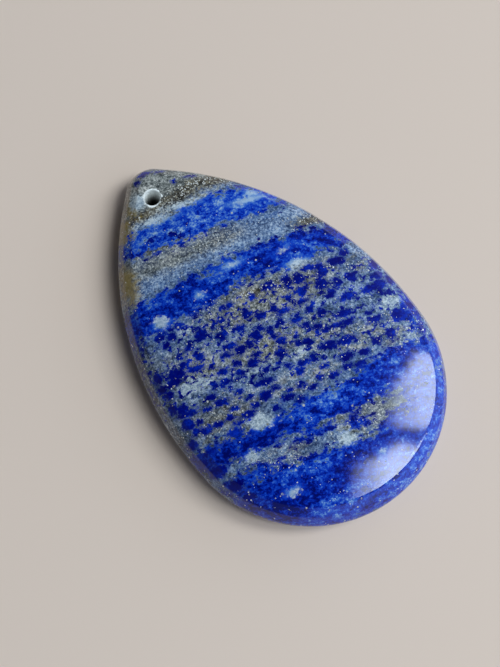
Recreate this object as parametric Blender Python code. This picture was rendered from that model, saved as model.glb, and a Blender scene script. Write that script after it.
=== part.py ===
# A polished lapis lazuli teardrop with a hole drilled near its point. Metres, +Z up.
# It is one cut stone, so it is one object. It lies on the small flat of its back,
# with its point and its hole towards +Y and its domed face up.
import math

import bmesh
import bpy
from mathutils import Vector

MM = 0.001

# The outline from above is a round end, two long flanks and a small point, all arcs that touch.
LENGTH = 50.0 * MM
END_RADIUS = 16.2 * MM
FLANK_RADIUS = 40.1 * MM
POINT_RADIUS = 3.5 * MM

# The edge, from the back up to the face. An inset is the distance in from the outline,
# and a height is measured from the surface that the stone lies on.
BACK_EDGE_INSET = 1.1 * MM
BACK_EDGE_HEIGHT = 0.45 * MM
GIRDLE_LOW = 1.9 * MM
GIRDLE_HIGH = 3.0 * MM
SHOULDER_INSET = 0.8 * MM
SHOULDER_HEIGHT = 4.5 * MM
FACE_EDGE_INSET = 1.85 * MM
FACE_EDGE_HEIGHT = 5.3 * MM

# How far each corner of the edge is rounded in the polishing.
BACK_EDGE_ROUND = 0.9 * MM
GIRDLE_ROUND = 1.8 * MM
SHOULDER_ROUND = 0.9 * MM
FACE_EDGE_ROUND = 0.75 * MM

# The face was ground a little to one side, so its edge is nearer to the outline at +X.
FACE_SHIFT = 0.15 * MM

# The face and the back are shallow domes about one centre, and the back is flat in the middle.
# Their contours are teardrops at the edge and grow rounder towards the centre.
DOME_CENTRE_Y = -6.0 * MM
DOME_ROUNDING = 0.6
FACE_RISE = 1.5 * MM
BACK_FLAT_SHARE = 0.5

# The hole is drilled straight through, a little off the long axis, and its mouths are broken.
HOLE_X = -0.84 * MM
HOLE_Y = 20.37 * MM
HOLE_RADIUS = 1.0 * MM
HOLE_MOUTH = 0.16 * MM

# How finely the arcs are stepped.
END_STEPS = 22
FLANK_STEPS = 13
POINT_STEPS = 10
CORNER_STEPS = 3
FACE_RINGS = 9
BACK_RINGS = 3
HOLE_STEPS = 28
SMOOTH_BELOW = math.radians(35)

LAPIS_BLUE = (0.035, 0.075, 0.36, 1.0)
POLISH_ROUGHNESS = 0.08


def clear_scene():
    for thing in list(bpy.data.objects):
        bpy.data.objects.remove(thing, do_unlink=True)


def stone_material():
    """Plain lapis blue with a high polish."""
    material = bpy.data.materials.new("polished_lapis")
    material.use_nodes = True
    shader = material.node_tree.nodes["Principled BSDF"]
    shader.inputs["Base Color"].default_value = LAPIS_BLUE
    shader.inputs["Roughness"].default_value = POLISH_ROUGHNESS
    shader.inputs["Metallic"].default_value = 0.0
    material.diffuse_color = LAPIS_BLUE
    return material


def arc(centre, radius, start, end, steps):
    """Points along an arc, from its start up to but not including its end."""
    points = []
    for step in range(steps):
        angle = start + (end - start) * step / steps
        points.append(centre + radius * Vector((math.cos(angle), math.sin(angle))))
    return points


def outline(inset):
    """The teardrop at this inset, anticlockwise from the middle of its round end."""
    end_centre = Vector((0.0, END_RADIUS - LENGTH / 2))
    point_centre = Vector((0.0, LENGTH / 2 - POINT_RADIUS))
    gap = point_centre.y - end_centre.y
    to_end = FLANK_RADIUS - END_RADIUS
    to_point = FLANK_RADIUS - POINT_RADIUS
    along = (to_end**2 - to_point**2 + gap**2) / (2 * gap)
    away = math.sqrt(to_end**2 - along**2)
    right_flank = Vector((-away, end_centre.y + along))
    left_flank = Vector((away, end_centre.y + along))
    low = math.atan2(end_centre.y - right_flank.y, away)
    high = math.atan2(point_centre.y - right_flank.y, away)
    points = arc(end_centre, END_RADIUS - inset, -math.pi / 2, low, END_STEPS)
    points += arc(right_flank, FLANK_RADIUS - inset, low, high, FLANK_STEPS)
    points += arc(point_centre, POINT_RADIUS - inset, high, math.pi - high, POINT_STEPS)
    points += arc(left_flank, FLANK_RADIUS - inset, math.pi - high, math.pi - low, FLANK_STEPS)
    points += arc(end_centre, END_RADIUS - inset, math.pi - low, math.pi * 1.5, END_STEPS)
    return points


def rounded(before, corner, after, radius):
    """The points of an arc that takes the corner off between its two neighbours."""
    back = (before - corner).normalized()
    on = (after - corner).normalized()
    half = back.angle(on) / 2
    reach = radius / math.tan(half)
    centre = corner + (back + on).normalized() * radius / math.sin(half)
    first = (corner + back * reach - centre).normalized()
    last = (corner + on * reach - centre).normalized()
    points = []
    for step in range(CORNER_STEPS + 1):
        points.append(centre + radius * first.slerp(last, step / CORNER_STEPS))
    return points


def edge_profile():
    """The edge's section as inset and height, from the edge of the back to the edge of the face."""
    corners = (
        (Vector((BACK_EDGE_INSET, BACK_EDGE_HEIGHT)), BACK_EDGE_ROUND),
        (Vector((0.0, GIRDLE_LOW)), GIRDLE_ROUND),
        (Vector((0.0, GIRDLE_HIGH)), GIRDLE_ROUND),
        (Vector((SHOULDER_INSET, SHOULDER_HEIGHT)), SHOULDER_ROUND),
        (Vector((FACE_EDGE_INSET, FACE_EDGE_HEIGHT)), FACE_EDGE_ROUND),
    )
    half_width = END_RADIUS - FACE_EDGE_INSET
    face_slope = Vector((half_width, 2 * FACE_RISE))
    back_slope = Vector((half_width, -BACK_EDGE_HEIGHT))
    ends = [corner for corner, _ in corners]
    ends.insert(0, corners[0][0] + back_slope)
    ends.append(corners[-1][0] + face_slope)
    profile = []
    for index, (corner, radius) in enumerate(corners):
        profile += rounded(ends[index], corner, ends[index + 2], radius)
    return profile


def edge_ring(inset, height):
    """The outline at one point of the edge's section, shifted as far as the face was ground off."""
    above_girdle = max(0.0, height - GIRDLE_HIGH) / (FACE_EDGE_HEIGHT - GIRDLE_HIGH)
    shift = FACE_SHIFT * above_girdle
    return [Vector((point.x + shift, point.y, height)) for point in outline(inset)]


def dome_ring(edge, share, height):
    """A contour of a dome: its edge at this share of its size, drawn part of the way to a circle."""
    centre = Vector((0.0, DOME_CENTRE_Y))
    arms = [point.xy - centre for point in edge]
    mean = sum(arm.length for arm in arms) / len(arms)
    rounding = DOME_ROUNDING * (1 - share)
    ring = []
    for arm in arms:
        flat = centre + share * arm.lerp(arm.normalized() * mean, rounding)
        ring.append(Vector((flat.x, flat.y, height)))
    return ring


def stone_rings():
    """Every ring of the stone, from the flat of its back to the last ring of its face."""
    edge = [edge_ring(point.x, point.y) for point in edge_profile()]
    back_height = edge[0][0].z
    face_height = edge[-1][0].z
    rings = []
    for index in range(BACK_RINGS):
        share = BACK_FLAT_SHARE + (1 - BACK_FLAT_SHARE) * index / BACK_RINGS
        rise = (share**2 - BACK_FLAT_SHARE**2) / (1 - BACK_FLAT_SHARE**2)
        rings.append(dome_ring(edge[0], share, back_height * rise))
    rings += edge
    for index in range(1, FACE_RINGS):
        share = 1 - index / FACE_RINGS
        rings.append(dome_ring(edge[-1], share, face_height + FACE_RISE * (1 - share**2)))
    return rings, Vector((0.0, DOME_CENTRE_Y, face_height + FACE_RISE))


def skin(name, rings, top=None):
    """A closed mesh over a pile of rings, with a flat bottom and a flat or a pointed top."""
    shape = bmesh.new()
    loops = [[shape.verts.new(point) for point in ring] for ring in rings]
    count = len(loops[0])
    for below, above in zip(loops, loops[1:]):
        for index in range(count):
            after = (index + 1) % count
            shape.faces.new((below[index], below[after], above[after], above[index]))
    shape.faces.new(list(reversed(loops[0])))
    if top is None:
        shape.faces.new(loops[-1])
    else:
        crown = shape.verts.new(top)
        for index in range(count):
            shape.faces.new((loops[-1][index], loops[-1][(index + 1) % count], crown))
    mesh = bpy.data.meshes.new(name)
    shape.to_mesh(mesh)
    shape.free()
    made = bpy.data.objects.new(name, mesh)
    bpy.context.scene.collection.objects.link(made)
    return made


def dome_height_at_hole(low_edge, rise, sign):
    """The height of a dome, the face or the back, over the middle of the hole."""
    reach = LENGTH / 2 - FACE_EDGE_INSET - DOME_CENTRE_Y
    share = (HOLE_Y - DOME_CENTRE_Y) / reach
    return low_edge + sign * rise * (1 - share**2)


def drill():
    """The shape that the drill takes away: a straight bore, wider at both mouths."""
    face = dome_height_at_hole(FACE_EDGE_HEIGHT, FACE_RISE, 1)
    back = dome_height_at_hole(BACK_EDGE_HEIGHT, BACK_EDGE_HEIGHT, -1)
    beyond = 1.0 * MM
    profile = (
        (HOLE_RADIUS + HOLE_MOUTH + beyond, back - beyond),
        (HOLE_RADIUS, back + HOLE_MOUTH),
        (HOLE_RADIUS, face - HOLE_MOUTH),
        (HOLE_RADIUS + HOLE_MOUTH + beyond, face + beyond),
    )
    rings = []
    for radius, height in profile:
        ring = arc(Vector((HOLE_X, HOLE_Y)), radius, 0.0, 2 * math.pi, HOLE_STEPS)
        rings.append([Vector((point.x, point.y, height)) for point in ring])
    cutter = skin("hole_cutter", rings)
    cutter.hide_render = True
    cutter.display_type = "WIRE"
    return cutter


def build_stone():
    rings, top = stone_rings()
    stone = skin("stone", rings, top)
    stone.data.materials.append(stone_material())
    stone.data.shade_smooth()
    stone.data.set_sharp_from_angle(angle=SMOOTH_BELOW)
    bore = stone.modifiers.new("drilled_hole", "BOOLEAN")
    bore.operation = "DIFFERENCE"
    bore.solver = "EXACT"
    bore.object = drill()
    return stone


clear_scene()
build_stone()
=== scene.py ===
# A polished lapis lazuli teardrop with a hole drilled near its point, lying on its back.
# Metres, +Z up, the point towards +Y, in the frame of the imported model.
import math

import bmesh
import bpy
from mathutils import Matrix, Vector


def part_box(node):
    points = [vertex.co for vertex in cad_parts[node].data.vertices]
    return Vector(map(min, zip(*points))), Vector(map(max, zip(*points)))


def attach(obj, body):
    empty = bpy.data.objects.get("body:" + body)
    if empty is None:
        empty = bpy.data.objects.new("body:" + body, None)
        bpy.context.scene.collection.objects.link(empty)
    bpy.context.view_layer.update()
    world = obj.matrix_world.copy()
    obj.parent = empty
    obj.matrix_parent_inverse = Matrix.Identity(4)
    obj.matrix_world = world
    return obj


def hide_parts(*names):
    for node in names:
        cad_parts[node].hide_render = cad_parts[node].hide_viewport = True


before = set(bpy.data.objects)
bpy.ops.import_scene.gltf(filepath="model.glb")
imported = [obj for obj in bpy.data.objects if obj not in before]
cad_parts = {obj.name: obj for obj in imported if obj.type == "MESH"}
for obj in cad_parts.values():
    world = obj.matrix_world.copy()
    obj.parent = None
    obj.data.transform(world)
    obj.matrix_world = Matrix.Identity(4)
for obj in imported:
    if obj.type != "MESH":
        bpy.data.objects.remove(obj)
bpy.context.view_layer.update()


# The viewpoint
# The camera looks down at the stone, a little from its round end, and is turned so that the
# point lies up and to the left of the picture.
bpy.ops.object.select_all(action="DESELECT")
camera_place = (-0.01989, -0.02313, 0.11745)
camera_tilt = math.radians(14.60)
camera_turn = math.radians(-37.99)
bpy.ops.object.camera_add(location=camera_place, rotation=(camera_tilt, 0.0, camera_turn))
camera = bpy.context.object
camera.name = "camera"
camera.data.lens = 54.0
camera.data.sensor_width = 36.0
camera.data.clip_start = 0.005
camera.data.clip_end = 20.0
bpy.context.scene.camera = camera


# The cut stone
# One slab of lapis lazuli, sawn to a teardrop, ground to a shallow dome on both sides with a
# small flat left on the back, its edge rounded over and all of it polished by hand.
stone_low, stone_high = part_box("stone")
length = stone_high.y - stone_low.y
end_radius, end_steps = 0.0162, 22
flank_radius, flank_steps = 0.0401, 13
point_radius, point_steps = 0.0035, 10

# Each step of the edge goes this far in from the last one and this far up or down.
back_edge_in, back_edge_height = 0.0011, 0.00045
girdle_low, girdle_high = 0.0019, 0.0030
shoulder_in, shoulder_height = 0.0008, 0.0045
face_edge_in, face_edge_height = 0.00105, 0.0053

# Each corner of the edge is taken back by this much on both sides when it is rounded.
back_edge_round = 0.00043
girdle_low_round = 0.00058
girdle_high_round = 0.00045
shoulder_round = 0.00020
face_edge_round = 0.00017

# The face lies a little to one side, and its dome has its top nearer to the round end.
face_shift = 0.00015
dome_middle_y = -0.006
dome_rounding = 0.6
face_rise = stone_high.z - face_edge_height
face_rings = 9
back_flat_share = 0.5
back_rings = 4
flat_margin = 0.0010

# Corners nearer to each other than this are one corner.
touching = 0.00001


def select_ring(stone, height):
    """Select the ring of edges that lies at this height and nothing else."""
    bpy.ops.mesh.select_all(action="DESELECT")
    shape = bmesh.from_edit_mesh(stone.data)
    for corner in shape.verts:
        corner.select = abs(corner.co.z - height) < touching
    shape.select_flush_mode()
    bmesh.update_edit_mesh(stone.data)


def spin_arc(middle, angle, steps, height):
    """Carry the selected corner round an arc, anticlockwise, drawing edges behind it."""
    bpy.ops.mesh.spin(
        steps=steps, angle=-angle, center=(middle.x, middle.y, height), axis=(0.0, 0.0, 1.0)
    )


def draw_teardrop(height):
    """The outline as one face: a round end, two long flanks and a small point, all arcs."""
    end_middle = Vector((0.0, stone_low.y + end_radius))
    point_middle = Vector((0.0, stone_high.y - point_radius))
    apart = point_middle.y - end_middle.y
    to_end = flank_radius - end_radius
    to_point = flank_radius - point_radius
    along = (to_end**2 - to_point**2 + apart**2) / (2 * apart)
    away = math.sqrt(to_end**2 - along**2)
    low = math.atan2(-along, away)
    high = math.atan2(apart - along, away)
    arcs = (
        (end_middle, math.pi / 2 + low, end_steps),
        (Vector((-away, end_middle.y + along)), high - low, flank_steps),
        (point_middle, math.pi - 2 * high, point_steps),
        (Vector((away, end_middle.y + along)), high - low, flank_steps),
        (end_middle, math.pi / 2 + low, end_steps),
    )
    bpy.ops.mesh.select_all(action="SELECT")
    bpy.ops.mesh.merge(type="CENTER")
    bpy.ops.transform.translate(value=(0.0, stone_low.y, height))
    for middle, angle, steps in arcs:
        spin_arc(middle, angle, steps, height)
    bpy.ops.mesh.select_all(action="SELECT")
    bpy.ops.mesh.remove_doubles(threshold=touching)
    bpy.ops.mesh.select_all(action="SELECT")
    bpy.ops.mesh.edge_face_add()


def raise_dome(shares, rise, full_height, sideways):
    """Draw the selected face inwards, ring by ring, to a dome whose rings grow rounder."""
    before, teardrop_before = 1.0, 1.0
    for share in shares:
        height = full_height + rise * (1 - share**2)
        middle = (sideways * share, dome_middle_y, height)
        teardrop = 1 - dome_rounding * (1 - share)
        up = rise * (before**2 - share**2)
        bpy.ops.mesh.extrude_region_move(TRANSFORM_OT_translate={"value": (0.0, 0.0, up)})
        bpy.ops.transform.translate(value=(sideways * (share - before), 0.0, 0.0))
        shrink = share / before
        bpy.ops.transform.resize(value=(shrink, shrink, 1.0), center_override=middle)
        bpy.ops.transform.tosphere(
            value=1 - teardrop / teardrop_before, center_override=middle
        )
        before, teardrop_before = share, teardrop


def round_ring(stone, height, setback, segments=3):
    """Take the corner off the ring at this height."""
    select_ring(stone, height)
    bpy.ops.mesh.bevel(offset=setback, offset_type="OFFSET", segments=segments, affect="EDGES")


bpy.ops.object.select_all(action="DESELECT")
bpy.ops.mesh.primitive_plane_add(size=0.001)
stone = bpy.context.object
stone.name = "polished_lapis"
bpy.ops.object.mode_set(mode="EDIT")
draw_teardrop(girdle_high)
bpy.ops.mesh.inset(thickness=shoulder_in, depth=shoulder_height - girdle_high)
shoulder_share = (shoulder_height - girdle_high) / (face_edge_height - girdle_high)
bpy.ops.transform.translate(value=(face_shift * shoulder_share, 0.0, 0.0))
bpy.ops.mesh.inset(thickness=face_edge_in, depth=face_edge_height - shoulder_height)
bpy.ops.transform.translate(value=(face_shift * (1 - shoulder_share), 0.0, 0.0))
face_shares = [1 - ring / face_rings for ring in range(1, face_rings)]
raise_dome(face_shares, face_rise, face_edge_height, face_shift)
bpy.ops.mesh.extrude_region_move(
    TRANSFORM_OT_translate={"value": (0.0, 0.0, face_rise * face_shares[-1] ** 2)}
)
bpy.ops.mesh.merge(type="CENTER")

select_ring(stone, girdle_high)
bpy.ops.mesh.extrude_edges_move(
    TRANSFORM_OT_translate={"value": (0.0, 0.0, girdle_low - girdle_high)}
)
bpy.ops.mesh.edge_face_add()
bpy.ops.mesh.select_all(action="SELECT")
bpy.ops.mesh.normals_make_consistent(inside=False)
select_ring(stone, girdle_low)
bpy.ops.mesh.inset(thickness=back_edge_in, depth=girdle_low - back_edge_height)
back_step = (1 - back_flat_share) / back_rings
back_shares = [1 - back_step * ring for ring in range(1, back_rings + 1)]
back_rise = -back_edge_height / (1 - back_flat_share**2)
raise_dome(back_shares, back_rise, back_edge_height, 0.0)
# A ring inside the flat keeps it flat when the mesh is made finer.
bpy.ops.mesh.inset(thickness=flat_margin, depth=0.0)

# The wheel leaves every corner of the edge rounded, the girdle most of all.
round_ring(stone, back_edge_height, back_edge_round)
round_ring(stone, girdle_low, girdle_low_round)
round_ring(stone, girdle_high, girdle_high_round)
round_ring(stone, shoulder_height, shoulder_round)
round_ring(stone, face_edge_height, face_edge_round)
bpy.ops.object.mode_set(mode="OBJECT")

fine = stone.modifiers.new("fine", "SUBSURF")
fine.levels = 2
fine.render_levels = 2
bpy.ops.object.modifier_apply(modifier=fine.name)
bpy.ops.object.shade_smooth()

# A hand held it to the wheel, so its curves waver a little.
waver = stone.modifiers.new("waver", "DISPLACE")
waver.texture = bpy.data.textures.new("waver", "CLOUDS")
waver.texture.noise_scale = 0.006
waver.texture.noise_depth = 1
waver.strength = 0.00005
waver.mid_level = 1.0
bpy.ops.object.modifier_apply(modifier=waver.name)

# The hole is drilled straight through near the point, and its mouths are broken a little.
# The drill is a rod that flares at each mouth, in steps of so much wider and so much further.
hole_x, hole_y = -0.00084, 0.02037
hole_radius = 0.0010
mouth = 0.00018
mouth_reach = (hole_y - dome_middle_y) / (length / 2 - shoulder_in - face_edge_in - dome_middle_y)
mouth_top = face_edge_height + face_rise * (1 - mouth_reach**2)
mouth_back = back_edge_height * mouth_reach**2
bore = mouth_top - mouth_back - 2 * mouth
bpy.ops.object.select_all(action="DESELECT")
bpy.ops.mesh.primitive_cylinder_add(
    vertices=72,
    radius=hole_radius,
    depth=bore,
    end_fill_type="NGON",
    location=(hole_x, hole_y, (mouth_top + mouth_back) / 2),
)
drill = bpy.context.object
bpy.ops.object.transform_apply(location=True)
bpy.ops.object.mode_set(mode="EDIT")
flares = ((0.00010, 0.00010), (0.00070, 0.00060))
for height, out in ((mouth_top - mouth, 1), (mouth_back + mouth, -1)):
    select_ring(drill, height)
    for wider, further in flares:
        bpy.ops.mesh.extrude_region_move(
            TRANSFORM_OT_translate={"value": (0.0, 0.0, out * further)}
        )
        grow = 1 + wider / hole_radius
        bpy.ops.transform.resize(value=(grow, grow, 1.0), center_override=(hole_x, hole_y, 0.0))
bpy.ops.object.mode_set(mode="OBJECT")
bpy.ops.object.select_all(action="DESELECT")
bpy.context.view_layer.objects.active = stone
cut = stone.modifiers.new("hole", "BOOLEAN")
cut.operation = "DIFFERENCE"
cut.solver = "EXACT"
cut.object = drill
bpy.ops.object.modifier_apply(modifier=cut.name)
bpy.data.objects.remove(drill)
stone.select_set(True)
bpy.ops.object.shade_smooth_by_angle(angle=math.radians(30))

# The minerals lie in bands that run 18 degrees down to the right of the stone's width, so
# the patches below are placed in millimetres along a band and across it, towards the
# point. Each is its middle, half its length, half its height and the turn of its long side.
band_turn = math.radians(18)

# Bands of lazurite, and the navy spots of it between them.
royal_bands = (
    (-5.2, 14.2, 7.6, 1.9, 2),
    (2.0, 14.9, 7.0, 2.0, -3),
    (-8.0, 5.5, 11.0, 2.1, 7),
    (4.5, 7.1, 12.0, 1.9, 2),
    (-8.0, -12.7, 9.0, 1.2, 2),
    (5.0, -11.7, 11.0, 1.7, 7),
    (13.0, -10.4, 7.0, 2.4, 8),
    (0.0, -20.6, 14.0, 4.2, 0),
    (11.0, -18.0, 7.0, 3.2, 30),
    (15.5, -14.5, 3.5, 1.4, 60),
    (16.8, -4.5, 2.5, 1.0, 80),
    (-7.0, -16.4, 3.6, 0.9, 5),
    (0.8, -13.9, 2.4, 0.6, 0),
    (6.0, -14.8, 1.4, 0.7, 0),
    (4.5, -17.4, 4.5, 0.8, 3),
    (14.8, -13.6, 3.0, 2.4, 0),
)

navy_spots = (
    (-6.3, 13.7, 0.6, 0.4, 0),
    (-5.4, 13.2, 0.5, 0.5, 0),
    (-8.9, 13.9, 0.8, 0.3, 10),
    (-7.0, 22.6, 0.9, 0.35, 0),
    (-8.2, 21.7, 0.4, 0.3, 0),
    (-5.2, 22.3, 0.4, 0.2, 0),
    (-4.0, 20.3, 0.35, 0.25, 0),
    (-1.8, 20.4, 0.5, 0.2, 0),
    (-9.3, 2.7, 0.45, 0.4, 0),
    (-11.8, 2.3, 0.65, 0.5, 0),
    (-10.4, 1.9, 0.65, 0.5, 0),
    (-4.6, 1.8, 0.45, 0.4, 0),
    (-3.0, 3.0, 0.45, 0.4, 0),
    (-0.3, 3.1, 0.45, 0.4, 0),
    (2.0, 3.6, 0.9, 0.6, 0),
    (4.2, 3.4, 0.6, 0.9, 0),
    (5.7, 3.3, 0.7, 0.7, 0),
    (8.6, 3.6, 0.7, 1.0, 0),
    (10.7, 4.0, 1.0, 0.6, 0),
    (7.2, 4.3, 0.8, 0.4, 0),
    (12.0, 4.8, 0.6, 0.5, 0),
    (-11.4, 1.1, 0.55, 0.5, 0),
    (-7.2, 0.9, 0.8, 0.75, 0),
    (-1.5, 1.4, 0.65, 0.6, 0),
    (-0.2, 0.7, 0.55, 0.5, 0),
    (1.7, 0.8, 0.45, 0.4, 0),
    (2.6, 0.2, 0.9, 0.4, 0),
    (3.8, 1.5, 0.4, 0.35, 0),
    (5.4, 1.7, 0.7, 0.6, 0),
    (5.0, 0.6, 0.9, 0.4, 0),
    (8.0, 1.8, 0.9, 0.6, 0),
    (8.6, 0.4, 0.6, 0.6, 0),
    (9.8, 1.5, 0.6, 0.6, 0),
    (11.6, 1.6, 0.7, 0.6, 0),
    (14.8, 2.4, 0.7, 0.7, 0),
    (14.8, 0.9, 0.6, 0.6, 0),
    (-9.0, -0.2, 0.7, 0.4, 0),
    (-5.1, -0.2, 0.7, 0.5, 0),
    (-3.0, 0.0, 0.8, 0.5, 0),
    (-10.4, -0.8, 0.35, 0.3, 0),
    (-0.5, -0.8, 0.45, 0.4, 0),
    (5.6, -0.6, 0.55, 0.5, 0),
    (10.3, -0.6, 1.2, 0.5, 0),
    (13.0, -0.4, 1.0, 0.5, 0),
    (14.5, -0.3, 0.9, 0.6, 0),
    (16.0, 0.0, 0.6, 0.6, 0),
    (-10.2, -1.8, 0.65, 0.4, 0),
    (-8.3, -1.3, 0.6, 0.6, 0),
    (-1.3, -1.5, 0.7, 0.65, 0),
    (0.4, -1.4, 0.55, 0.5, 0),
    (1.9, -1.0, 0.45, 0.4, 0),
    (3.6, -1.3, 0.9, 0.5, 0),
    (-4.5, -1.6, 0.9, 0.4, 0),
    (6.8, -1.4, 0.65, 0.6, 0),
    (14.2, -1.2, 0.55, 0.5, 0),
    (15.2, -1.6, 0.45, 0.4, 0),
    (-13.6, -2.0, 0.65, 0.6, 0),
    (-11.4, -2.5, 1.1, 0.6, 0),
    (-12.0, -3.3, 1.2, 0.5, 0),
    (-9.0, -2.6, 1.0, 0.4, 0),
    (-5.3, -2.5, 0.7, 0.4, 0),
    (-3.5, -2.5, 0.65, 0.55, 0),
    (0.6, -2.3, 0.55, 0.45, 0),
    (-2.3, -2.1, 0.5, 0.45, 0),
    (4.6, -2.4, 0.45, 0.4, 0),
    (5.6, -2.8, 0.5, 0.45, 0),
    (9.0, -2.3, 1.1, 0.5, 0),
    (-13.5, -3.5, 0.5, 0.5, 0),
    (-13.0, -4.4, 0.65, 0.55, 0),
    (-4.6, -3.6, 0.45, 0.4, 0),
    (-2.0, -3.6, 0.45, 0.4, 0),
    (1.2, -3.1, 0.7, 0.4, 0),
    (6.3, -3.6, 0.55, 0.5, 0),
    (7.8, -3.5, 1.0, 0.4, 0),
    (9.2, -3.5, 0.9, 0.5, 0),
    (11.9, -3.2, 0.45, 0.4, 0),
    (12.3, -4.3, 0.9, 0.4, 0),
    (-6.3, -4.1, 0.8, 0.4, 0),
    (-2.7, -4.4, 0.8, 0.5, 0),
    (0.6, -4.3, 0.65, 0.55, 0),
    (4.0, -4.3, 0.6, 0.6, 0),
    (2.8, -3.9, 0.5, 0.3, 0),
    (15.2, -4.6, 1.0, 0.8, 0),
    (17.0, -3.8, 0.6, 0.6, 0),
    (-4.5, -4.9, 0.55, 0.45, 0),
    (-6.4, -5.4, 0.9, 0.4, 0),
    (-7.7, -5.3, 0.45, 0.4, 0),
    (0.0, -5.5, 0.4, 0.35, 0),
    (-1.7, -5.7, 0.45, 0.4, 0),
    (6.0, -5.3, 1.0, 0.5, 0),
    (8.0, -5.5, 1.4, 0.5, 0),
    (-13.0, -6.2, 0.6, 0.6, 0),
    (-12.0, -6.5, 0.6, 0.55, 0),
    (-8.6, -6.4, 0.7, 0.4, 0),
    (-5.4, -6.9, 0.5, 0.3, 0),
    (0.9, -6.1, 0.4, 0.35, 0),
    (2.7, -6.3, 0.8, 0.5, 0),
    (3.8, -6.2, 0.5, 0.5, 0),
    (-11.6, -7.2, 1.2, 0.4, 0),
    (-7.6, -7.3, 1.0, 0.4, 0),
    (-2.4, -6.9, 1.2, 0.5, 0),
    (1.8, -7.2, 0.5, 0.5, 0),
    (7.4, -7.3, 1.0, 0.5, 0),
    (11.4, -6.8, 0.55, 0.5, 0),
    (13.4, -6.4, 0.7, 0.7, 0),
    (17.2, -6.8, 0.4, 0.6, 0),
    (-12.0, -8.4, 0.75, 0.65, 0),
    (-10.6, -8.5, 0.4, 0.4, 0),
    (-2.7, -8.4, 0.8, 0.6, 0),
    (-1.4, -8.0, 0.6, 0.3, 0),
    (0.0, -8.7, 0.45, 0.35, 0),
    (3.8, -8.5, 0.4, 0.4, 0),
    (7.2, -8.4, 0.7, 0.4, 0),
    (-10.3, -9.7, 0.8, 0.5, 0),
    (-8.8, -9.6, 0.8, 0.4, 0),
    (-5.3, -9.7, 0.9, 0.4, 0),
    (-2.0, -10.2, 0.45, 0.4, 0),
    (-12.3, -10.6, 0.75, 0.65, 0),
    (-7.3, -11.0, 0.8, 0.5, 0),
    (-10.6, -14.4, 1.2, 0.7, 0),
    (-9.2, -16.6, 1.0, 0.6, 0),
    (-12.0, -13.0, 0.8, 0.6, 0),
    (-8.2, -18.2, 1.0, 0.5, 0),
    (-9.4, -7.5, 0.5, 0.3, 0),
    (-6.4, -8.5, 0.6, 0.4, 0),
    (-4.5, -8.0, 0.5, 0.3, 0),
    (-4.2, -9.1, 0.5, 0.3, 0),
    (-0.6, -9.5, 0.8, 0.4, 0),
    (1.4, -8.6, 0.6, 0.4, 0),
    (2.7, -9.3, 0.8, 0.4, 0),
    (4.7, -7.4, 0.6, 0.4, 0),
    (5.4, -8.8, 0.7, 0.4, 0),
    (8.8, -8.6, 0.8, 0.4, 0),
    (9.7, -7.5, 0.7, 0.4, 0),
    (-7.4, -9.3, 0.5, 0.3, 0),
    (-11.5, -9.4, 0.6, 0.4, 0),
    (-6.6, -10.2, 0.6, 0.3, 0),
    (0.8, -10.2, 0.7, 0.4, 0),
    (-11.0, -12.2, 0.9, 0.4, 0),
)

# White calcite, brown matrix full of pyrite, streaks of pyrite and stains of ochre.
calcite_patches = (
    (-10.8, -4.6, 1.0, 0.9, 0),
    (-9.4, -4.3, 1.8, 0.8, 0),
    (-4.0, -11.0, 1.4, 0.9, 0),
    (14.7, -2.7, 1.5, 0.8, 0),
    (4.2, -15.9, 1.0, 0.9, 0),
    (-3.5, -19.4, 1.1, 0.6, 0),
    (-6.5, -14.2, 1.0, 0.6, 0),
    (-3.0, -5.3, 1.2, 0.4, 0),
    (-3.8, -6.9, 0.6, 0.35, 0),
    (3.2, -5.0, 1.0, 0.5, 0),
    (15.7, -7.4, 0.8, 0.5, 0),
    (-11.0, 4.0, 1.1, 0.9, 0),
    (5.2, 7.4, 1.2, 0.3, 15),
    (6.3, 5.3, 1.3, 0.5, 0),
    (-5.8, 5.4, 0.7, 0.5, 0),
    (-9.0, 1.8, 0.9, 0.5, 0),
    (4.4, 15.7, 0.6, 0.4, 0),
    (-4.2, 17.0, 2.2, 0.5, 0),
    (-8.0, 16.2, 2.6, 0.5, 0),
    (3.5, 14.9, 1.6, 0.4, 0),
    (-9.0, 19.2, 1.0, 1.2, 0),
    (7.4, -18.7, 0.6, 0.5, 0),
    (-1.0, 7.6, 1.0, 0.35, 0),
)

pyrite_zones = (
    (-1.5, 18.8, 5.5, 0.9, 0),
    (-7.5, 17.5, 3.2, 0.8, 0),
    (-7.8, 11.4, 4.2, 0.9, 0),
    (-1.5, 11.4, 3.2, 1.3, 0),
    (9.5, 10.0, 2.2, 0.9, 0),
    (1.0, 3.4, 5.0, 1.4, 0),
    (-6.0, 2.6, 2.6, 1.0, 10),
    (-4.0, 1.4, 3.0, 1.4, 0),
    (8.8, 4.0, 2.6, 1.6, 0),
    (13.0, 3.0, 1.8, 1.4, 0),
    (4.0, -3.5, 5.0, 2.4, 0),
    (10.0, -5.6, 4.0, 1.6, 0),
    (14.5, -6.6, 3.0, 2.6, 0),
    (2.0, -8.2, 5.0, 1.4, 0),
    (-7.0, -8.5, 4.5, 1.6, 0),
    (-10.0, -1.0, 3.0, 1.2, 0),
    (8.0, -14.4, 3.4, 1.4, 0),
    (13.5, -13.5, 3.0, 2.6, 0),
    (-3.0, -15.5, 4.0, 1.4, 0),
    (2.5, -22.0, 3.0, 1.0, 0),
)

pyrite_streaks = (
    (0.2, 19.1, 3.4, 0.75, 4),
    (-4.2, 18.1, 2.6, 0.85, 12),
    (-8.2, 17.2, 2.6, 0.6, 8),
    (0.6, 3.6, 2.0, 0.5, 0),
    (9.6, 10.0, 2.0, 0.6, 0),
)

ochre_stains = (
    (-11.6, 16.2, 1.2, 1.7, 0),
    (-9.8, 18.8, 0.6, 1.0, 0),
    (-13.3, 9.8, 0.9, 2.4, 0),
)

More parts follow.
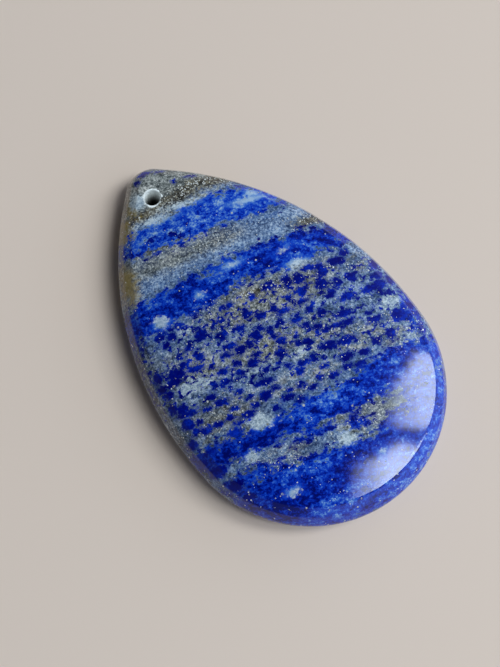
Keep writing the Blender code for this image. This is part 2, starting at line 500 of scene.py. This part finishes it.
# Within the bands the blue is deepest in the first of these and thinnest in the second.
deep_blues = (
    (-5.5, -20.3, 5.0, 2.4, 0),
    (-8.0, -12.9, 5.0, 0.8, 3),
    (-9.5, 5.4, 3.0, 1.0, 6),
    (3.0, 6.8, 2.6, 0.9, 4),
    (10.5, 8.2, 2.0, 1.0, -20),
    (4.0, -18.6, 3.0, 1.0, 0),
)

thin_blues = (
    (17.3, -12.0, 0.6, 4.0, -18),
    (13.4, -20.0, 4.5, 1.4, 40),
    (9.0, -23.0, 3.0, 0.8, 20),
    (-3.0, 14.9, 12.0, 2.6, 0),
    (-1.0, 7.8, 2.6, 0.8, 0),
    (-0.5, -22.3, 3.0, 1.0, 0),
    (-11.5, 6.8, 2.0, 0.8, 0),
    (6.5, 5.6, 2.4, 0.8, 0),
    (2.5, -11.0, 3.0, 0.7, 5),
    (-2.0, -18.0, 3.5, 0.8, 0),
)

# Between the bands the first of these get painted shade, darker and greyer at the left and lower
# left where the light from the right falls less; the matrix is plain grey in the second.
shade_zones = (
    (-10.5, -11.0, 5.0, 4.0, 30),
    (-14.5, -2.0, 1.6, 8.0, 8),
    (-7.0, -17.5, 5.0, 1.6, -30),
)

neutral_zones = (
    (-4.5, 21.2, 9.0, 4.4, 0),
    (-8.0, 11.6, 5.5, 1.4, 0),
    (-9.0, -3.2, 2.4, 1.2, 0),
    (-8.5, -10.4, 3.0, 1.4, 0),
    (2.0, 2.6, 6.0, 2.4, 0),
    (-2.0, -3.0, 3.0, 1.4, 0),
    (8.0, -14.6, 4.0, 1.6, 0),
)


def colour(red, green, blue):
    """A colour as it is read off a screen, from 0 to 255, made linear for the shader."""
    made = [((part / 255 + 0.055) / 1.055) ** 2.4 if part > 10 else part / 3294.6
            for part in (red, green, blue)]
    return (*made, 1.0)


def node(tree, kind, inputs, **options):
    """Add a node with these options, and link or set its inputs by name or number."""
    made = tree.nodes.new("ShaderNode" + kind)
    for name, option in options.items():
        setattr(made, name, option)
    for socket, value in inputs.items():
        if isinstance(value, bpy.types.NodeSocket):
            tree.links.new(value, made.inputs[socket])
        else:
            made.inputs[socket].default_value = value
    return made


def maths(tree, operation, first, second=0.0, third=0.0):
    """One step of maths on numbers."""
    values = {0: first, 1: second, 2: third}
    return node(tree, "Math", values, operation=operation).outputs[0]


def over(tree, share, under, upper, kind="MIX"):
    """One colour laid over another by a share from 0 to 1."""
    inputs = {0: share, 6: under, 7: upper}
    return node(tree, "Mix", inputs, data_type="RGBA", blend_type=kind).outputs[2]


def ease(tree, value, start, end, low=0.0, high=1.0):
    """A soft step from low to high while the value goes from start to end."""
    inputs = {0: value, 1: start, 2: end, 3: low, 4: high}
    return node(tree, "MapRange", inputs, interpolation_type="SMOOTHSTEP").outputs[0]


def ramp(tree, value, stops):
    """Linear colours passed through as the value grows, each stop a place and a colour."""
    made = node(tree, "ValToRGB", {0: value})
    elements = made.color_ramp.elements
    for number, (place, shade) in enumerate(stops):
        if number == 0:
            step = elements[0]
            step.position = place
        elif number == len(stops) - 1:
            step = elements[-1]
            step.position = place
        else:
            step = elements.new(place)
        step.color = shade
    return made.outputs[0]


def shades(tree, value, stops):
    """The same with colours as they are read off a screen."""
    return ramp(tree, value, [(place, colour(*shade)) for place, shade in stops])


def weigh(tree, start, *parts):
    """A number to which others are added, each less its own middle and times its own weight."""
    total = start
    for value, middle, weight in parts:
        total = maths(tree, "MULTIPLY_ADD", maths(tree, "SUBTRACT", value, middle), weight, total)
    return total


def clouds(tree, place, scale, detail=2.0, roughness=0.5, stretch=(1.0, 1.0, 1.0)):
    """Fractal noise at so many lumps to the millimetre, drawn out along a band by stretch."""
    if stretch != (1.0, 1.0, 1.0):
        place = node(tree, "Mapping", {0: place, 3: stretch}, vector_type="POINT").outputs[0]
    inputs = {"Vector": place, "Scale": scale, "Detail": detail, "Roughness": roughness}
    return node(tree, "TexNoise", inputs)


def vector(tree, operation, first, second=(0.0, 0.0, 0.0), scale=1.0):
    """One step of vector maths; length and dot product put out a number instead."""
    inputs = {0: first, 1: second, 3: scale}
    made = node(tree, "VectorMath", inputs, operation=operation)
    return made.outputs["Value" if operation in ("LENGTH", "DOT_PRODUCT") else "Vector"]


def build_patch_group():
    """How deep a point lies in one mineral patch, in millimetres, or in one before it."""
    tree = bpy.data.node_groups.new("mineral_patch", "ShaderNodeTree")
    for name, kind in (
        ("Place", "NodeSocketVector"),
        ("Before", "NodeSocketFloat"),
        ("Middle", "NodeSocketVector"),
        ("Reach", "NodeSocketVector"),
        ("Size", "NodeSocketFloat"),
    ):
        tree.interface.new_socket(name, in_out="INPUT", socket_type=kind)
    tree.interface.new_socket("Depth", in_out="OUTPUT", socket_type="NodeSocketFloat")
    ins = tree.nodes.new("NodeGroupInput").outputs
    from_middle = vector(tree, "SUBTRACT", ins["Place"], ins["Middle"])
    inside = vector(tree, "DIVIDE", from_middle, ins["Reach"])
    less = maths(tree, "SUBTRACT", 1.0, vector(tree, "LENGTH", inside))
    depth = maths(tree, "MULTIPLY", less, ins["Size"])
    deepest = maths(tree, "MAXIMUM", depth, ins["Before"])
    outs = tree.nodes.new("NodeGroupOutput")
    tree.links.new(deepest, outs.inputs["Depth"])
    return tree


patch_group = build_patch_group()


def depth_in(tree, place, patches, level=3.4, reach=40.0):
    """How deep a point lies in any of these patches, in millimetres; outside it is negative.

    The patches are cut through at this level, and go on above and below it for this reach."""
    depth = -9.0
    turned_places = {0: place}
    for along, across, half_length, half_height, turn in patches:
        angle = math.radians(turn)
        long_side = Vector((math.cos(angle), math.sin(angle), 0.0))
        short_side = Vector((-math.sin(angle), math.cos(angle), 0.0))
        if turn not in turned_places:
            parts = {
                0: vector(tree, "DOT_PRODUCT", place, long_side),
                1: vector(tree, "DOT_PRODUCT", place, short_side),
                2: vector(tree, "DOT_PRODUCT", place, (0.0, 0.0, 1.0)),
            }
            turned_places[turn] = node(tree, "CombineXYZ", parts).outputs[0]
        middle = Vector((along, across, 0.0))
        patch = tree.nodes.new("ShaderNodeGroup")
        patch.node_tree = patch_group
        tree.links.new(turned_places[turn], patch.inputs["Place"])
        if isinstance(depth, float):
            patch.inputs["Before"].default_value = depth
        else:
            tree.links.new(depth, patch.inputs["Before"])
        patch.inputs["Middle"].default_value = (middle @ long_side, middle @ short_side, level)
        patch.inputs["Reach"].default_value = (half_length, half_height, reach)
        patch.inputs["Size"].default_value = min(half_length, half_height)
        depth = patch.outputs["Depth"]
    return depth


def build_fleck_group():
    """Bright grains of pyrite: where they are, which way each is cut, and a number for each."""
    tree = bpy.data.node_groups.new("pyrite_flecks", "ShaderNodeTree")
    for name, kind in (
        ("Place", "NodeSocketVector"),
        ("Fineness", "NodeSocketFloat"),
        ("Plenty", "NodeSocketFloat"),
        ("Normal", "NodeSocketVector"),
        ("Tilt", "NodeSocketFloat"),
    ):
        tree.interface.new_socket(name, in_out="INPUT", socket_type=kind)
    tree.interface.new_socket("Mask", in_out="OUTPUT", socket_type="NodeSocketFloat")
    tree.interface.new_socket("Facet", in_out="OUTPUT", socket_type="NodeSocketVector")
    tree.interface.new_socket("Number", in_out="OUTPUT", socket_type="NodeSocketFloat")
    ins = tree.nodes.new("NodeGroupInput").outputs
    grains = node(tree, "TexVoronoi", {"Vector": ins["Place"], "Scale": ins["Fineness"]})
    parts = node(tree, "SeparateColor", {0: grains.outputs["Color"]}).outputs
    chosen = maths(tree, "LESS_THAN", parts[0], ins["Plenty"])
    size = maths(tree, "MULTIPLY_ADD", parts[1], 0.30, 0.16)
    near = maths(tree, "LESS_THAN", grains.outputs["Distance"], size)
    mask = maths(tree, "MULTIPLY", chosen, near)
    aside = vector(tree, "SUBTRACT", grains.outputs["Color"], (0.5, 0.5, 0.5))
    aside = vector(tree, "SCALE", aside, scale=ins["Tilt"])
    facet = vector(tree, "NORMALIZE", vector(tree, "ADD", aside, ins["Normal"]))
    outs = tree.nodes.new("NodeGroupOutput")
    tree.links.new(mask, outs.inputs["Mask"])
    tree.links.new(facet, outs.inputs["Facet"])
    tree.links.new(parts[2], outs.inputs["Number"])
    return tree


fleck_group = build_fleck_group()


def build_lapis():
    """Lazurite, calcite and pyrite grown together, cut through and polished to one gloss."""
    material = bpy.data.materials.new("polished_lapis")
    material.use_nodes = True
    tree = material.node_tree
    shader = tree.nodes["Principled BSDF"]
    object_place = node(tree, "TexCoord", {}).outputs["Object"]
    inputs = {0: object_place, 2: (0.0, 0.0, band_turn), 3: (1000.0, 1000.0, 1000.0)}
    place = node(tree, "Mapping", inputs, vector_type="POINT").outputs[0]
    across = node(tree, "SeparateXYZ", {0: place}).outputs[1]
    up = node(tree, "SeparateXYZ", {0: place}).outputs[2]

    # The grains' edges are ragged, so the places are shaken before the patches are looked up.
    ragged = place
    for scale, swing in ((0.8, 0.9), (2.4, 0.8), (6.5, 0.36)):
        shake = clouds(tree, place, scale, 2.0, 0.6).outputs["Color"]
        shake = vector(tree, "SUBTRACT", shake, (0.5, 0.5, 0.5))
        ragged = vector(tree, "ADD", ragged, vector(tree, "SCALE", shake, scale=swing))

    band = depth_in(tree, ragged, royal_bands)
    spot = depth_in(tree, ragged, navy_spots, 5.5, 5.0)
    pale = depth_in(tree, ragged, calcite_patches)
    glint = depth_in(tree, ragged, pyrite_zones)
    streak = depth_in(tree, ragged, pyrite_streaks)
    stain = depth_in(tree, ragged, ochre_stains, 3.8, 5.0)
    deep = ease(tree, depth_in(tree, ragged, deep_blues), -0.8, 0.6)
    thin = ease(tree, depth_in(tree, ragged, thin_blues), -0.8, 0.8)
    neutral = ease(tree, depth_in(tree, ragged, neutral_zones), -1.4, 0.4)
    painted_shade = ease(tree, depth_in(tree, ragged, shade_zones), -1.6, 1.0)

    # Crystal grains of a fifth of a millimetre, each a little lighter or darker than the next.
    crystals = node(tree, "TexVoronoi", {"Vector": ragged, "Scale": 4.6}).outputs["Color"]
    crystal = node(tree, "SeparateColor", {0: crystals}).outputs[0]
    fine = clouds(tree, place, 3.6, 3.0, 0.75).outputs[0]
    grain = weigh(tree, 0.0, (fine, 0.5, 2.6), (crystal, 0.5, 0.45))
    lump = clouds(tree, place, 0.45, 3.0, 0.6, (0.5, 1.0, 1.0)).outputs[0]
    mottle = clouds(tree, place, 1.3, 3.0, 0.65, (0.7, 1.0, 1.0)).outputs[0]

    # The matrix is calcite dusted with blue, neutral grey where it is pure and brown where it
    # is full of pyrite. All of them run from dark grains to light ones.
    tone = weigh(tree, 0.53, (grain, 0.0, 1.0), (lump, 0.5, 1.1), (mottle, 0.5, 1.2))
    # Painted shade: the matrix is darker in the shade zones at the left and lower left.
    tone = weigh(tree, tone, (painted_shade, 0.0, -0.19))
    matrix = shades(tree, tone, (
        (0.0, (36, 50, 82)),
        (0.25, (66, 84, 114)),
        (0.5, (94, 113, 144)),
        (0.75, (124, 142, 172)),
        (1.0, (178, 191, 208)),
    ))
    plain_grey = shades(tree, tone, (
        (0.0, (50, 54, 57)),
        (0.25, (88, 91, 90)),
        (0.5, (122, 125, 123)),
        (0.75, (152, 153, 150)),
        (1.0, (204, 202, 196)),
    ))
    dusted = shades(tree, tone, (
        (0.0, (24, 48, 112)),
        (0.5, (74, 106, 156)),
        (1.0, (146, 168, 196)),
    ))
    brownish = shades(tree, tone, (
        (0.0, (28, 27, 28)),
        (0.5, (88, 86, 80)),
        (1.0, (168, 161, 147)),
    ))
    dark_streak = shades(tree, tone, (
        (0.0, (24, 21, 18)),
        (0.5, (70, 64, 53)),
        (1.0, (138, 128, 106)),
    ))
    # The painted shade also greys the matrix a little in the shade zones.
    greyed = maths(tree, "MAXIMUM", neutral, maths(tree, "MULTIPLY", painted_shade, 0.5))
    matrix = over(tree, greyed, matrix, plain_grey)
    near_band = ease(tree, band, -2.4, -0.1)
    near_band = maths(tree, "MULTIPLY", near_band, ease(tree, mottle, 0.36, 0.6))
    matrix = over(tree, near_band, matrix, dusted)
    brown = ease(tree, glint, -0.6, 0.7)
    brown = maths(tree, "MULTIPLY", brown, ease(tree, mottle, 0.38, 0.58))
    matrix = over(tree, maths(tree, "MULTIPLY", brown, 0.7), matrix, brownish)
    streak = ease(tree, weigh(tree, streak, (grain, 0.0, 0.4), (mottle, 0.5, 1.5)), -0.35, 0.25)
    matrix = over(tree, maths(tree, "MULTIPLY", streak, 0.85), matrix, dark_streak)
    stain = weigh(tree, stain, (mottle, 0.5, 3.0), (grain, 0.0, 0.3))
    matrix = over(tree, ease(tree, stain, -0.8, 0.5, 0.0, 0.8), matrix, colour(150, 128, 66))
    white = weigh(tree, pale, (mottle, 0.5, 1.4), (grain, 0.0, 0.4))
    calcite = shades(tree, tone, (
        (0.0, (118, 132, 148)),
        (0.5, (160, 174, 186)),
        (1.0, (204, 212, 216)),
    ))
    matrix = over(tree, ease(tree, white, -0.4, 0.5, 0.0, 0.85), matrix, calcite)

    # Lazurite runs from pale azure where it is thin to deep navy where it is thick.
    thick = weigh(tree, 0.66, (mottle, 0.5, 2.1), (grain, 0.0, 0.5))
    thick = weigh(tree, thick, (deep, 0.0, 0.20), (thin, 0.0, -0.22))
    thick = maths(tree, "SUBTRACT", thick, ease(tree, white, -0.5, 0.5, 0.0, 0.5))
    blue = shades(tree, thick, (
        (0.0, (152, 176, 206)),
        (0.18, (104, 140, 196)),
        (0.36, (50, 96, 188)),
        (0.52, (14, 63, 180)),
        (0.68, (3, 42, 163)),
        (0.85, (0, 22, 128)),
        (1.0, (0, 10, 92)),
    ))
    edge = weigh(tree, band, (mottle, 0.5, 5.0), (grain, 0.0, 0.5))
    banded = ease(tree, edge, -0.35, 0.25)
    mixed = over(tree, banded, matrix, blue)
    mixed = over(tree, ease(tree, white, 0.05, 0.5, 0.0, 0.8), mixed, calcite)

    # The spots between the bands, the larger of them placed and the small ones scattered. On
    # the back all of them are scattered.
    spotted = ease(tree, across, -10.5, -6.0)
    spotted = maths(tree, "MULTIPLY", spotted, ease(tree, across, 5.0, 3.0))
    behind = ease(tree, up, 2.6, 1.2)
    large = clouds(tree, ragged, 0.95, 0.0, 0.5, (0.75, 1.0, 1.0)).outputs[0]
    large = weigh(tree, -4.0, (large, 0.56, 3.2), (behind, 0.0, 4.0))
    small = clouds(tree, ragged, 2.1, 0.0, 0.5, (0.75, 1.0, 1.0)).outputs[0]
    small = weigh(tree, 0.0, (small, 0.63, 1.8))
    scattered = maths(tree, "MAXIMUM", small, large)
    scattered = weigh(tree, -1.0, (scattered, 0.0, 1.0), (spotted, 0.0, 1.0))
    spot = maths(tree, "MAXIMUM", spot, scattered)
    spot = weigh(tree, spot, (grain, 0.0, 0.34))
    darkness = weigh(tree, 0.45, (mottle, 0.5, 1.6), (lump, 0.5, 1.6), (grain, 0.0, 0.35))
    navy = shades(tree, darkness, (
        (0.0, (0, 2, 92)),
        (0.5, (0, 16, 120)),
        (1.0, (8, 48, 178)),
    ))
    mixed = over(tree, ease(tree, spot, -0.26, 0.0, 0.0, 0.4), mixed, colour(24, 62, 160))
    speckled = ease(tree, spot, -0.03, 0.05)
    mixed = over(tree, speckled, mixed, navy)

    # The drill left its bore unpolished. Its colour runs from white near the face, partly crushed
    # calcite and partly painted light where the lit wall shows, to near black lower down, which is
    # painted shade inside the bore.
    from_hole = vector(tree, "SUBTRACT", object_place, (hole_x, hole_y, 0.0))
    from_hole = vector(tree, "MULTIPLY", from_hole, (1000.0, 1000.0, 0.0))
    reach = weigh(tree, vector(tree, "LENGTH", from_hole), (mottle, 0.5, 1.2), (fine, 0.5, 0.5))
    bore_edge = hole_radius * 1000.0
    bored = ease(tree, reach, 1.22 * bore_edge, 1.08 * bore_edge)
    bore_calcite_and_shade = over(tree, ease(tree, up, 1.5, 4.8), colour(56, 58, 56), colour(246, 248, 246))
    mixed = over(tree, bored, mixed, bore_calcite_and_shade)

    # Pyrite: fine grains nearly everywhere, most of them in the brown and fewest in the blue.
    normal = node(tree, "NewGeometry", {}).outputs["Normal"]
    pitted = ease(tree, fine, 0.42, 0.34)
    pitted = maths(tree, "MULTIPLY", pitted, maths(tree, "ADD", brown, 0.15))
    relief = maths(tree, "SUBTRACT", fine, maths(tree, "MULTIPLY", pitted, 6.0))
    inputs = {"Height": relief, "Distance": 0.0000003, "Strength": 1.0, "Normal": normal}
    polished = node(tree, "Bump", inputs).outputs[0]
    clustered = ease(tree, clouds(tree, place, 0.9, 2.0, 0.6).outputs[0], 0.42, 0.62, 0.15, 1.0)
    plenty = ease(tree, glint, -1.0, 1.0, 0.10, 0.50)
    plenty = maths(tree, "MULTIPLY", plenty, clustered)
    in_blue = maths(tree, "MAXIMUM", banded, speckled)
    plenty = maths(tree, "MULTIPLY", plenty, maths(tree, "MULTIPLY_ADD", in_blue, -0.7, 1.0))
    plenty = maths(tree, "MULTIPLY_ADD", streak, 0.25, plenty)
    mask = 0.0
    glint_brightness = 0.0
    facet = polished
    for fineness, share in ((3.3, 0.7), (5.0, 1.0)):
        flecks = tree.nodes.new("ShaderNodeGroup")
        flecks.node_tree = fleck_group
        tree.links.new(place, flecks.inputs["Place"])
        tree.links.new(maths(tree, "MULTIPLY", plenty, share), flecks.inputs["Plenty"])
        tree.links.new(normal, flecks.inputs["Normal"])
        flecks.inputs["Fineness"].default_value = fineness
        flecks.inputs["Tilt"].default_value = 1.0
        inputs = {0: flecks.outputs["Mask"], 4: facet, 5: flecks.outputs["Facet"]}
        facet = node(tree, "Mix", inputs, data_type="VECTOR").outputs[1]
        mask = maths(tree, "MAXIMUM", flecks.outputs["Mask"], mask)
        glint_brightness = maths(tree, "MAXIMUM", flecks.outputs["Number"], glint_brightness)
    # Painted glint: the grains get a near-white colour over the pyrite's own pale brass, so each
    # shows bright whichever way it faces the light; the number picks how bright each is painted.
    fleck_glint_colour = over(tree, ease(tree, glint_brightness, 0.0, 0.6), colour(198, 204, 192), colour(255, 255, 252))
    final = over(tree, mask, mixed, fleck_glint_colour)
    tree.links.new(final, shader.inputs["Base Color"])
    tree.links.new(maths(tree, "MULTIPLY", mask, 0.25), shader.inputs["Metallic"])
    tree.links.new(facet, shader.inputs["Normal"])
    rough = weigh(tree, 0.09, (mask, 0.0, 0.16), (bored, 0.0, 0.45), (pitted, 0.0, 0.3))
    tree.links.new(rough, shader.inputs["Roughness"])
    return material


stone.data.materials.append(build_lapis())
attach(stone, "root")
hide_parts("stone")


# The floor
# The stone lies on a plain pale floor, matt and without marks. It is wide enough that only a
# camera held low looks past its edge.
bpy.ops.object.select_all(action="DESELECT")
floor_width = 12.0
bpy.ops.mesh.primitive_plane_add(size=floor_width)
floor = bpy.context.object
floor.name = "floor"
pale_floor = bpy.data.materials.new("pale_floor")
pale_floor.use_nodes = True
floor_shader = pale_floor.node_tree.nodes["Principled BSDF"]
floor_shader.inputs["Base Color"].default_value = (0.70, 0.55, 0.46, 1.0)
floor_shader.inputs["Roughness"].default_value = 0.8
floor.data.materials.append(pale_floor)


# The light
# Daylight comes through two windows at the right, each dimmed by a net curtain at its left
# side. The walls of the room at the right are bright with it, and those at the left are dim.
light_height = 0.90
curtain_folds = 5


def hang_pane(name, left, right, near, far, radiance):
    """A bright pane overhead, given by the slopes at which the stone sees its four sides."""
    turn = Matrix.Rotation(camera_turn, 4, "Z")
    middle = Vector(((left + right) / 2, (near + far) / 2, 1.0)) * light_height
    bpy.ops.object.select_all(action="DESELECT")
    bpy.ops.object.light_add(type="AREA", location=turn @ middle, rotation=(0.0, 0.0, camera_turn))
    pane = bpy.context.object
    pane.name = name
    pane.data.shape = "RECTANGLE"
    pane.data.size = (right - left) * light_height
    pane.data.size_y = (far - near) * light_height
    pane.data.color = (0.82, 0.94, 1.0)
    pane.data.energy = radiance * math.pi * pane.data.size * pane.data.size_y


def hang_window(name, left, right, near, far, curtain, gathered, radiance):
    """A pane with a net curtain over its left side, which thins out to the right.

    Gathered is the share of the pane's height that the curtain leaves free at the far left."""
    fold_width = curtain / curtain_folds
    for fold in range(curtain_folds):
        fold_left = left + fold * fold_width
        opening = (fold + 0.5) / curtain_folds
        fold_far = near + (far - near) * (gathered + (1 - gathered) * opening)
        dimmed = radiance * (1 - (1 - opening) ** 2)
        hang_pane(f"{name}_fold_{fold}", fold_left, fold_left + fold_width, near, fold_far, dimmed)
    hang_pane(name, left + curtain, right, near, far, radiance)


hang_window("far_window", 0.385, 1.30, 0.003, 0.37, 0.25, 0.3, 13.0)
hang_window("near_window", 0.24, 0.90, -0.33, -0.078, 0.20, 0.7, 15.5)

# What the polish mirrors besides the windows: walls that are lighter low down than high up,
# and lighter at the right than at the left.
room = bpy.data.worlds.new("room")
room.use_nodes = True
bpy.context.scene.world = room
sky = room.node_tree
direction = node(sky, "TexCoord", {}).outputs["Generated"]
upward = node(sky, "SeparateXYZ", {0: direction}).outputs["Z"]
right_hand = (math.cos(camera_turn), math.sin(camera_turn), 0.0)
rightward = maths(sky, "MULTIPLY_ADD", vector(sky, "DOT_PRODUCT", direction, right_hand), 0.5, 0.5)
walls = ramp(sky, upward, (
    (0.0, (0.62, 0.62, 0.64, 1.0)),
    (0.45, (0.55, 0.55, 0.561, 1.0)),
    (0.75, (0.09, 0.09, 0.0918, 1.0)),
    (1.0, (0.02, 0.02, 0.02, 1.0)),
))
sides = ramp(sky, rightward, (
    (0.0, (0.12, 0.12, 0.12, 1.0)),
    (0.45, (0.3268, 0.38, 0.4408, 1.0)),
    (0.58, (0.774, 0.90, 1.044, 1.0)),
    (0.72, (1.806, 2.10, 2.436, 1.0)),
    (1.0, (1.8, 2.2, 2.6, 1.0)),
))
glow = over(sky, 1.0, walls, sides, "MULTIPLY")
sky.links.new(glow, sky.nodes["Background"].inputs["Color"])
bpy.context.scene.view_settings.view_transform = "Standard"
